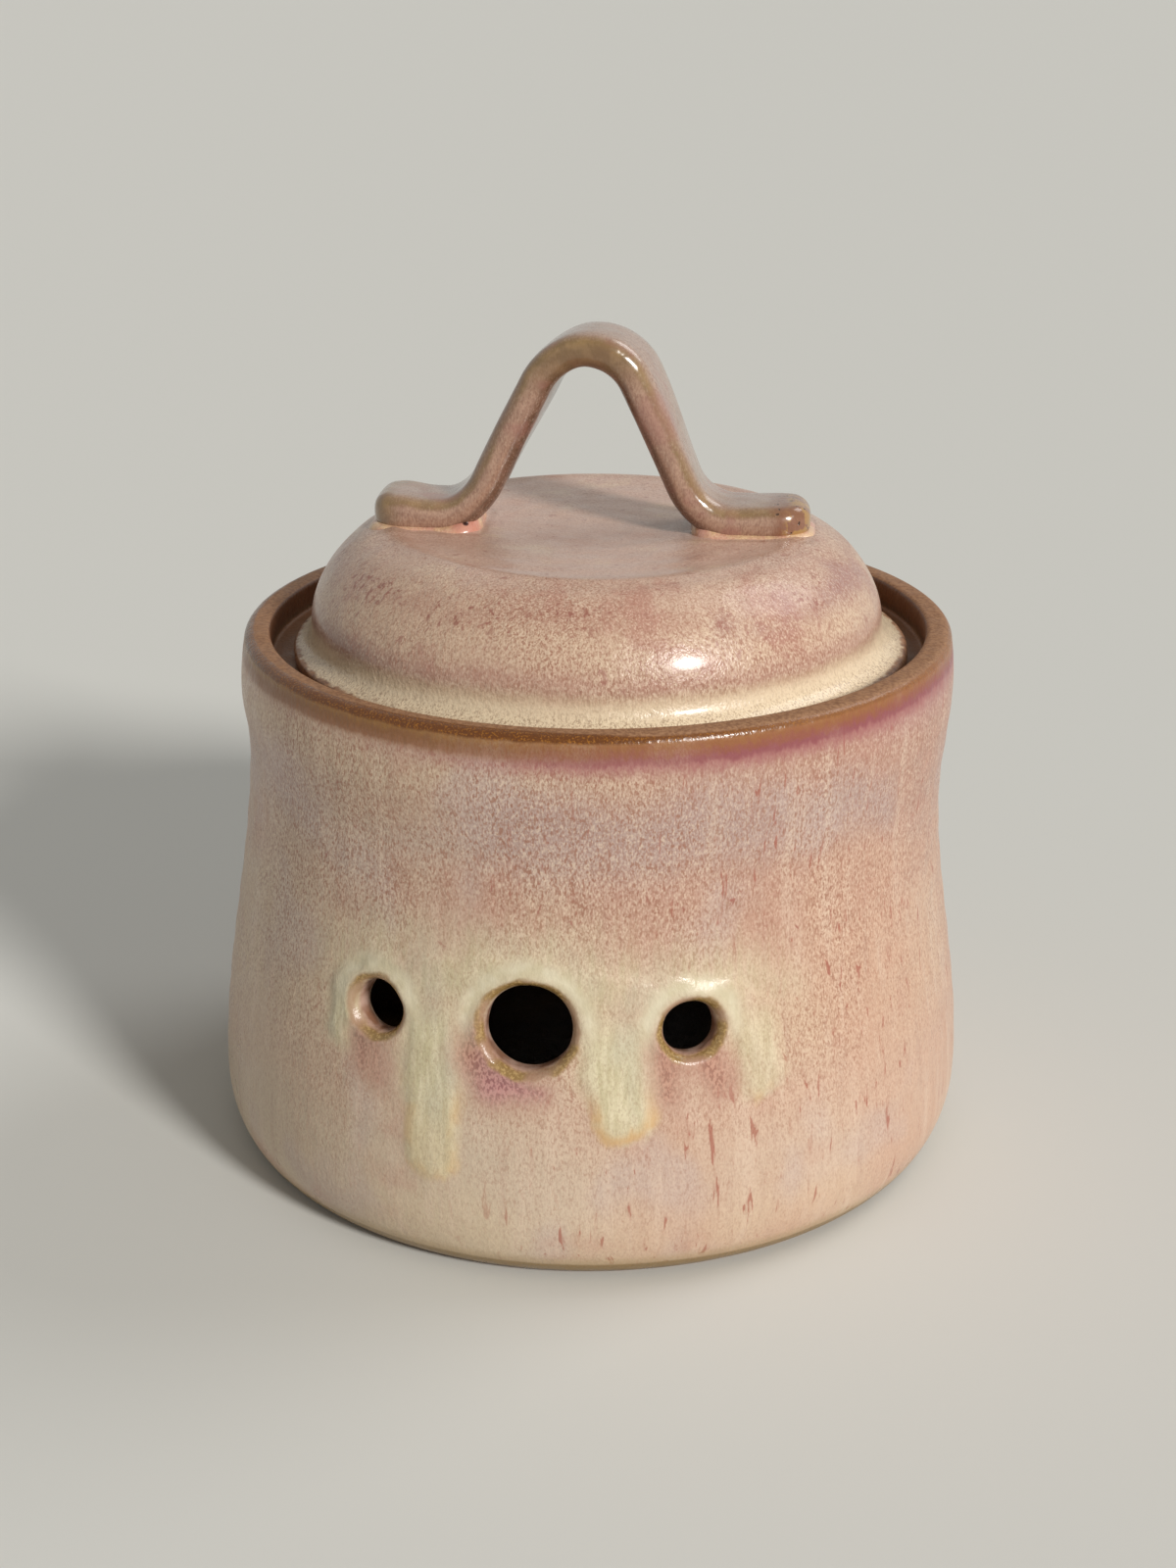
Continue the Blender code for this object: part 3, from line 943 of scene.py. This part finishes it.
def jar_material():
    g = Glaze("jar_glazed")
    level, inside, run, vent = (g.value(name) for name in ("level", "inside", "run", "vent"))
    lit = g.towards(view_turn + radians(62), belly_radius)
    shade = g.towards(view_turn - radians(75), belly_radius)
    height = level + g.wobble(22, 0.9, 28, 2.1)
    g.colour = g.ladder(height, (
        (-6, 206, 185, 154), (8, 218, 200, 172), (19, 214, 196, 174), (30, 211, 183, 161),
        (45, 213, 189, 160), (56, 213, 189, 164), (64, 202, 171, 150), (72, 196, 170, 158),
        (79, 200, 168, 149), (85, 207, 180, 155), (92, 200, 166, 142)))
    # Peach and ruddy on the right, the peach partly painted warm light on the side the key lamp
    # faces; paler on the left, in a tone that is partly painted shade on the side turned from the
    # lamp; a lilac band with a mauve one below it
    peach = g.noise(30, 0.8, 1.2).ease(0.34, 0.6, 0.45, 0.85)
    g.lay(lit.ease(0.1, 0.85) * peach, (204, 164, 140))
    g.lay(lit.ease(0.3, 0.85) * height.ease(64, 82), (186, 145, 129), 0.8)
    g.lay(shade.ease(0.1, 0.9), (198, 175, 147), 0.5)
    lilac = height.band(72, 83, 4.5) * g.noise(34, 0.7, 9.3).ease(0.40, 0.56)
    g.lay(lilac, (184, 160, 153), 0.8)
    mauve = height.band(58, 70, 4) * g.noise(40, 0.7, 4.1).ease(0.42, 0.6)
    g.lay(mauve, (190, 146, 128), 0.5)
    g.lay(g.noise(48, 0.8, 2.3).ease(0.54, 0.68), (198, 178, 170), 0.5)
    g.lay(g.noise(44, 1.2, 5.6, 3.0, 0.55).ease(0.55, 0.7), (195, 148, 130), 0.5)
    streaks = g.noise(330, 0.06, 3.1, 3.0, 0.6)
    g.lay(streaks.ease(0.48, 0.72), (226, 202, 180), 0.4)
    g.lay(streaks.ease(0.45, 0.25), (184, 150, 132), 0.35)
    amount = height.ease(5, 60, 0.2, 0.85) * g.noise(40, 0.8, 6.2).ease(0.32, 0.62, 0.6, 1.1)
    g.mottle(dark_grain, light_grain, amount | level.ease(66, 76, 0, 0.7))
    where = (lit + g.wobble(26, 1.0, 1.6, 8.4)).ease(0.0, 0.8, 0.2, 1.0)
    g.flecks((164, 92, 74), 820, 0.17, 0.655, where * 0.75, 2.2)
    g.flecks((164, 102, 88), 620, 0.5, 0.70, level.band(50, 76, 6) * 0.85, 6.6)
    # Where the pale glaze ran: soft above the vents, with a faint ochre border at the lower ends
    edge = run + g.wobble(700, 0.25, 2.4, 6.1) + g.wobble(130, 0.7, 3.2, 4.6)
    upper = level.ease(42, 53)
    flow = g.noise(800, 0.06, 8.8, 3.0, 0.6)
    feathered = edge + (flow - 0.5) * 12.0
    soft_mask = feathered.ease(10.0, -9.0) * upper * 0.9
    loose, tight = edge.ease(2.4, -2.6), edge.ease(1.0, -1.4)
    hard_mask = loose + (tight - loose) * level.ease(36, 28)
    hard_mask = hard_mask * (1 - upper) * lit.ease(0.52, 0.72, 1.0, 0.7)
    pale = g.blend(flow.ease(0.36, 0.64), (206, 197, 158), (234, 225, 190))
    pale = g.blend(g.noise(120, 0.4, 0.9).ease(0.45, 0.7, 0.0, 0.6), pale, (204, 200, 178))
    pale = g.blend(level.ease(34, 22, 0.0, 0.5), pale, (220, 196, 154))
    pale = g.grain(pale, (172, 150, 118), (226, 215, 186), 0.4, 4.0)
    g.lay(soft_mask | hard_mask, pale, 0.85)
    border = edge.band(-1.7, 0.3, 0.9) * level.ease(37, 29, 0.0, 0.95)
    border = border * lit.ease(0.0, 0.45, 0.45, 0.9) * g.noise(160, 1.0, 7.3).ease(0.38, 0.58)
    g.lay(border, (214, 168, 110), 0.8)
    # Blooms under and beside the vents, violet at the middle one, under a net of darker grains
    bloom = g.value("bloom") + g.wobble(260, 0.5, 2.6, 3.8)
    net = g.noise(2300, 0.6, 3.3, 1.0).ease(0.42, 0.6)
    middle = g.calc("ABSOLUTE", g.towards(0, belly_radius)).ease(0.95, 0.972)
    bloom_tone = g.blend(middle, g.blend(net, (200, 150, 130), (150, 98, 82)),
                         g.blend(net, (202, 146, 144), (150, 92, 98)))
    g.lay(bloom.ease(4.5, 0.6), (186, 142, 126), 0.4)
    g.lay(bloom.ease(2.4, -2.4), bloom_tone, 0.85)
    # Vents: pale shoulder, a brown lip that stands partly for the shade at each vent's upper edge,
    # a broken glossy olive ring, then pink into the bore
    rough_ring = g.noise(330, 1.0, 1.4)
    mixed = rough_ring.ease(0.35, 0.65)
    shoulder = (vent + g.wobble(300, 1.0, 1.2, 2.6)).band(1.8, 4.4, 1.4)
    g.lay(shoulder * level.ease(40, 48), g.blend(mixed, (212, 200, 168), (226, 216, 188)), 0.9)
    lip = (vent + (rough_ring - 0.5) * 1.8).band(-0.4, 1.4, 0.5)
    g.lay(lip, (164, 126, 98), 0.75)
    ring = lip * g.noise(120, 1.0, 2.5, 1.0).ease(0.44, 0.56)
    gilt = g.noise(1900, 1.0, 4.4, rough=0.6).ease(0.45, 0.66)
    g.lay(ring, g.blend(gilt, (146, 116, 64), (188, 156, 100)), 0.9)
    g.lay(vent.ease(-0.1, -1.2), g.blend(mixed, (202, 168, 150), (150, 108, 84)))
    # Rim: bare brown top, sparkling amber line, olive band, and a violet halo on one side
    drop = float(jar_height / mm) - level
    halo_side = lit.ease(-0.3, 0.6, 0.1, 1.0) * g.noise(120, 0.7, 3.9).ease(0.3, 0.55, 0.75, 0.98)
    wavy = drop + g.wobble(50, 0.3, 1.4, 2.9)
    ragged = wavy + g.wobble(1100, 0.6, 2.2, 5.1) + lit.ease(0.8, 1.0, 0, 0.8)
    g.lay(ragged.ease(12, 4) * lit.ease(0.82, 0.97), (176, 124, 132), 0.55)
    g.lay(ragged.ease(7.8, 4.2) * halo_side, g.ladder(ragged, (
        (1.0, 156, 104, 60), (2.0, 150, 94, 56), (3.0, 146, 84, 66), (4.0, 146, 80, 84),
        (5.2, 166, 106, 104))))
    g.lay(wavy.ease(4.9, 3.4) * lit.ease(-0.1, 0.75, 0.95, 0.0), g.ladder(ragged, (
        (1.0, 146, 102, 48), (2.4, 134, 88, 48), (3.4, 144, 98, 66), (4.4, 172, 132, 106))))
    sparkle = g.noise(3000, 1.0, 9.1, rough=0.6).ease(0.5, 0.7)
    amber = (drop + g.wobble(300, 0.6, 0.7, 1.7)).ease(1.5, 0.9) * lit.ease(0.4, 0.95, 1.0, 0.4)
    g.lay(amber, g.blend(sparkle, (102, 54, 2), (158, 100, 22)))
    bare_from = lit.ease(0.2, 0.7, 59.9, 61.4) + g.wobble(160, 1.0, 0.6, 8.1)
    rim_top = (drop + g.wobble(200, 1.0, 0.2, 4.7)).ease(0.5, 0.2)
    rim_top = rim_top * (bare_from - g.reach()).ease(-0.3, 0.3)
    speckle = g.noise(1500, 1.0, 5.5, 3.0, 0.6).ease(0.38, 0.64)
    g.lay(rim_top, g.blend(speckle, (160, 118, 84), (130, 90, 60)))
    # Foot: the glaze thins to an olive line, then a darker brown band that is partly painted shade
    # where the heel turns under, and below it the clay is bare
    foot = level + g.wobble(50, 0.3, 0.8, 7.2)
    g.lay(foot.ease(6.0, 3.6), (178, 152, 112), 0.6)
    g.lay(foot.ease(3.7, 3.0), (138, 110, 64), 0.85)
    g.lay(foot.ease(1.6, 1.1), (120, 92, 52))
    bare = level.ease(0.5, 0.3)
    speckle = g.noise(1300, 1.0, 4.9, 3.0, 0.6).ease(0.4, 0.65)
    g.lay(bare, g.blend(speckle, (172, 136, 104), (138, 100, 72)))
    # Inside: red-brown under the rim, a warm ledge, then dark olive glaze
    clouds = g.noise(90, 1.0, 6.6, 3.0, 0.55).ease(0.35, 0.65)
    inner = g.blend(clouds, (108, 76, 42), (82, 55, 29))
    inner = g.blend(level.ease(89.2, 90.8), inner, (100, 54, 20))
    inner = g.blend(level.band(88.2, 89.4, 0.3) * 0.75, inner, (144, 92, 52))
    inner = g.grain(inner, (62, 42, 24), (134, 108, 70), 0.4, 2.0)
    buried = inside * (1 - rim_top)
    g.lay(buried, inner)
    rough = g.noise(240, 1.0, 1.1).ease(0.3, 0.7, 0.27, 0.38)
    rough = rough - (ring | amber * 0.7) * 0.14 + (rim_top | bare | buried * 0.5) * 0.38
    bump = g.noise(1500, 0.6, 7.7, rough=0.6) * 0.45 + g.noise(200, 0.8, 3.3)
    return g.finish(rough, bump, 0.22 * mm, 0.0, 0.16)


def lid_material():
    g = Glaze("lid_glazed")
    level, reach, inside, foot = (g.value(name) for name in ("level", "reach", "inside", "foot"))
    right = g.towards(view_turn - lid_turn + radians(58), neck_radius)
    left = g.towards(view_turn - lid_turn - radians(78), neck_radius)
    g.colour = g.ladder(level + g.wobble(48, 0.8, 7.0, 2.1), (
        (2, 212, 186, 154), (6, 208, 178, 152), (9, 196, 158, 138), (12, 206, 175, 150),
        (15, 208, 178, 152), (18, 194, 158, 136), (20.5, 202, 170, 148), (23, 205, 172, 154)))
    top = reach.ease(36, 32)
    g.lay(top, (206, 172, 155), 0.7)
    patches = g.noise(105, 1.0, 4.0, 3.0, 0.6)
    g.lay(patches.ease(0.50, 0.68) * (1 - top * 0.6), (186, 141, 123))
    g.lay(patches.ease(0.44, 0.32), (220, 194, 166), 0.5)
    streak = (right + g.wobble(90, 1.0, 0.5, 4.7)).ease(0.78, 0.92) * level.band(15, 21, 2.5)
    g.lay(streak, (152, 108, 112), 0.65)
    # A dark mauve band low on the dome's far left: partly a mauve patch, partly painted shade on
    # the side turned away from the key lamp
    g.lay(left.ease(0.72, 0.98) * level.band(6.5, 10.5, 1.8), (132, 96, 88), 0.6)
    amount = g.noise(60, 1.0, 2.5).ease(0.3, 0.65, 0.55, 0.95) * top.ease(0.0, 1.0, 1.0, 0.5)
    g.mottle(dark_grain, light_grain, amount, 1.0)
    crowd = level.band(15.5, 20.0, 1.5) * g.noise(80, 1.0, 7.9).ease(0.4, 0.6)
    g.flecks((150, 92, 76), 1000, 0.6, 0.585, crowd * 0.9, 3.2)
    g.flecks((158, 102, 88), 700, 0.35, 0.66, 0.6, 9.2)
    g.lay((reach + g.wobble(70, 1.0, 2.4, 5.9)).band(33.6, 34.9, 1.4), (160, 118, 92), 0.32)
    # Pale lower flare with dark grains at its edge, then the bare brown edge of the flange
    cream = g.ladder(level, ((2.1, 206, 182, 148), (3.2, 240, 219, 185), (6.5, 240, 217, 185)))
    cream = g.grain(cream, (150, 120, 92), (236, 220, 188), level.ease(5.2, 2.8, 0.25, 0.8), 6.0)
    g.lay((level + g.wobble(70, 1.0, 1.8, 2.9)).ease(8.4, 5.0), cream, 0.92)
    clay = g.noise(700, 1.0, 5.1, 3.0, 0.6).ease(0.4, 0.65)
    edge = (level + g.wobble(600, 1.0, 0.6, 3.0)).ease(2.56, 2.3) | inside
    g.lay(edge, g.blend(clay, (150, 106, 72), (112, 72, 44)))
    # A thin brown line round the clay that was smoothed out from the handle's feet
    g.lay((foot + g.wobble(90, 1.0, 1.4, 6.4)).band(1.6, 2.3, 0.6), (156, 116, 92), 0.45)
    rough = g.noise(260, 1.0, 1.1).ease(0.3, 0.7, 0.28, 0.4) + edge * 0.3
    bump = g.noise(1500, 0.8, 7.7, rough=0.6) * 0.5 + g.noise(200, 1.0, 3.3)
    return g.finish(rough, bump, 0.26 * mm, 0.3, 0.14)


def handle_material():
    g = Glaze("handle_glazed")
    upward, level, along = (g.value(name) for name in ("upward", "level", "along"))
    # Colour by which way the strap's surface faces: dark brown on faces turned down, painted shade
    # under the strap; mauve-brown sides; an olive line at the upper corner; lighter on faces turned
    # up, painted reflection of the bright room above
    facing = upward + g.wobble(110, 1.0, 0.7, 4.0)
    g.colour = g.ladder(facing, (
        (-1.0, 92, 64, 46), (-0.6, 108, 78, 60), (-0.2, 168, 132, 111), (0.2, 180, 145, 123),
        (0.55, 136, 108, 74), (0.8, 152, 124, 100), (1.0, 172, 148, 134)))
    g.lay(g.noise(130, detail=3.0, rough=0.55).ease(0.5, 0.64), (150, 116, 98), 0.5)
    g.mottle((134, 98, 80), (196, 166, 144), 0.55, 3.0)
    g.lay(g.noise(150, 1.0, 7.0).ease(0.54, 0.66), (160, 108, 98), 0.5)
    g.lay(g.near(leg_blush, 3 * mm), (158, 108, 98), 0.4)
    clouds = g.noise(420, 1.0, 2.0, 3.0, 0.6).ease(0.4, 0.62)
    ochre = g.blend(clouds, (130, 102, 52), (160, 128, 78))
    crown = (level + g.wobble(90, 1.0, 6.0, 2.0)).ease(22, 32) * upward.ease(1.1, 0.2)
    g.lay(crown, g.blend(0.4, (98, 74, 46), ochre), 0.85)
    corner = (facing + g.wobble(60, 1.0, 1.2, 4.7)).band(0.45, 0.8, 0.3)
    g.lay(corner * (level.ease(20, 28, 0.1, 0.5) | level.ease(14, 7, 0.1, 0.5)), ochre)
    g.lay((level + g.wobble(160, 1.0, 1.2, 5.0)).ease(1.7, 0.9), (124, 102, 52), 0.8)
    # The far end of one foot is red-brown and pitted, the other is ochre
    end = along + g.wobble(200, 1.0, 5.0, 1.0)
    g.lay(end.ease(-31.0, -34.5), ochre, 0.6)
    g.lay(end.ease(29.0, 32.5), (130, 80, 54), 0.75)
    gold = g.noise(500, 1.0, 1.5, rough=0.6).ease(0.45, 0.55)
    g.lay(end.ease(32, 34) * gold, (176, 136, 76), 0.8)
    # Pits in the glaze, dented by the bump and painted near-black as the shade inside them
    pits = g.noise(900, 1.0, 5.0, 1.0).ease(0.66, 0.7) * along.ease(30, 32)
    g.lay(pits, (60, 36, 22))
    rough = g.noise(260, 1.0, 1.1).ease(0.3, 0.7, 0.16, 0.26)
    return g.finish(rough, g.noise(320, 1.0, 3.3) - pits, 0.25 * mm, 0.5, 0.08)


def luting_material():
    g = Glaze("luting_glazed")
    clouds = g.noise(330, detail=3.0, rough=0.55).ease(0.36, 0.64)
    g.colour = g.blend(clouds, (226, 190, 148), (212, 158, 138))
    g.mottle((176, 120, 92), (240, 214, 180), 0.4, 5.0)
    g.lay(g.near(pinhole, 1.8 * mm), (204, 134, 118), 0.75)
    # The pinhole itself is a near-black dot: painted shade standing in for a hole that the mesh
    # does not have
    g.lay(g.near(pinhole, 0.34 * mm), (54, 22, 18))
    rough = g.noise(260, 1.0, 1.1).ease(0.3, 0.7, 0.24, 0.36)
    return g.finish(rough, g.noise(700, 1.0, 3.3), 0.2 * mm, 0.4, 0.1)


# ---- Floor, light and camera ---------------------------------------------------------------

floor_size = 30.0
world_level = 0.23
mirror_level = 0.58
key_level = 0.81
key_colour = (1, 0.975, 0.94)
fill_level = 0.02
side_level = 0.22


def build_floor():
    mesh = bpy.data.meshes.new("floor")
    half = floor_size / 2
    corners = [(-half, -half, 0), (half, -half, 0), (half, half, 0), (-half, half, 0)]
    mesh.from_pydata(corners, [], [(0, 1, 2, 3)])
    g = Glaze("floor_plain")
    look = {"Base Color": tone(222, 222, 217), "Roughness": 0.9, "Specular IOR Level": 0.1}
    g.feed(g.shader, look)
    mesh.materials.append(g.material)
    floor = bpy.data.objects.new("floor", mesh)
    bpy.context.scene.collection.objects.link(floor)


def add_lamp(name, azimuth, elevation, spread, level, colour=(1, 1, 1)):
    """A soft far lamp. At level 1 a surface that faces it shows its colour as written."""
    light = bpy.data.lights.new(name, "SUN")
    light.angle = spread
    light.energy = pi * level
    light.color = colour
    lamp = bpy.data.objects.new(name, light)
    level_part = cos(elevation)
    towards = Vector((sin(azimuth) * level_part, -cos(azimuth) * level_part, sin(elevation)))
    lamp.location = towards
    lamp.rotation_euler = towards.to_track_quat("Z", "Y").to_euler()
    bpy.context.scene.collection.objects.link(lamp)


def build_light():
    """A white room for the camera and for reflections, dimmer as a light, and three soft lamps."""
    world = bpy.data.worlds.new("studio")
    bpy.context.scene.world = world
    world.use_nodes = True
    nodes, links = world.node_tree.nodes, world.node_tree.links
    rays = nodes.new("ShaderNodeLightPath")
    seen = rays.outputs["Is Camera Ray"]
    for name in ("Is Glossy Ray", "Is Transmission Ray"):
        node = nodes.new("ShaderNodeMath")
        node.operation = "MAXIMUM"
        links.new(seen, node.inputs[0])
        links.new(rays.outputs[name], node.inputs[1])
        seen = node.outputs[0]
    strength = nodes.new("ShaderNodeMapRange")
    strength.inputs["To Min"].default_value = world_level
    strength.inputs["To Max"].default_value = mirror_level
    links.new(seen, strength.inputs["Value"])
    background = nodes["Background"]
    background.inputs["Color"].default_value = (1, 0.98, 0.93, 1)
    links.new(strength.outputs[0], background.inputs["Strength"])
    add_lamp("key", view_turn + radians(38.5), radians(28), radians(11), key_level, key_colour)
    add_lamp("fill", view_turn - radians(60), radians(30), radians(60), fill_level)
    add_lamp("side", view_turn + radians(115), radians(45), radians(30), side_level)


def build_camera():
    """The photograph's camera: azimuth view_turn, looking down on the jar."""
    camera = bpy.data.cameras.new("camera")
    camera.sensor_fit = "VERTICAL"
    camera.sensor_height = camera_sensor
    camera.sensor_width = camera_sensor
    camera.lens = camera_lens
    camera.clip_start = 0.01
    rig = bpy.data.objects.new("camera", camera)
    rig.location = (camera_distance * sin(view_turn), -camera_distance * cos(view_turn),
                    camera_height)
    right = Vector(view_right)
    aim = Vector((0, 0, aim_height)) - right * aim_left
    look = (rig.location - aim).to_track_quat("Z", "Y")
    rig.rotation_euler = (look.to_matrix() @ Matrix.Rotation(camera_roll, 3, "Z")).to_euler()
    bpy.context.scene.collection.objects.link(rig)
    bpy.context.scene.camera = rig


build_camera()
build_jar(jar_material())
build_lid(lid_material())
build_handle(handle_material())
luting = luting_material()
build_luting("luting_right", 1, luting)
build_luting("luting_left", -1, luting)
build_floor()
build_light()
bpy.context.scene.view_settings.view_transform = "Standard"
bpy.context.view_layer.update()
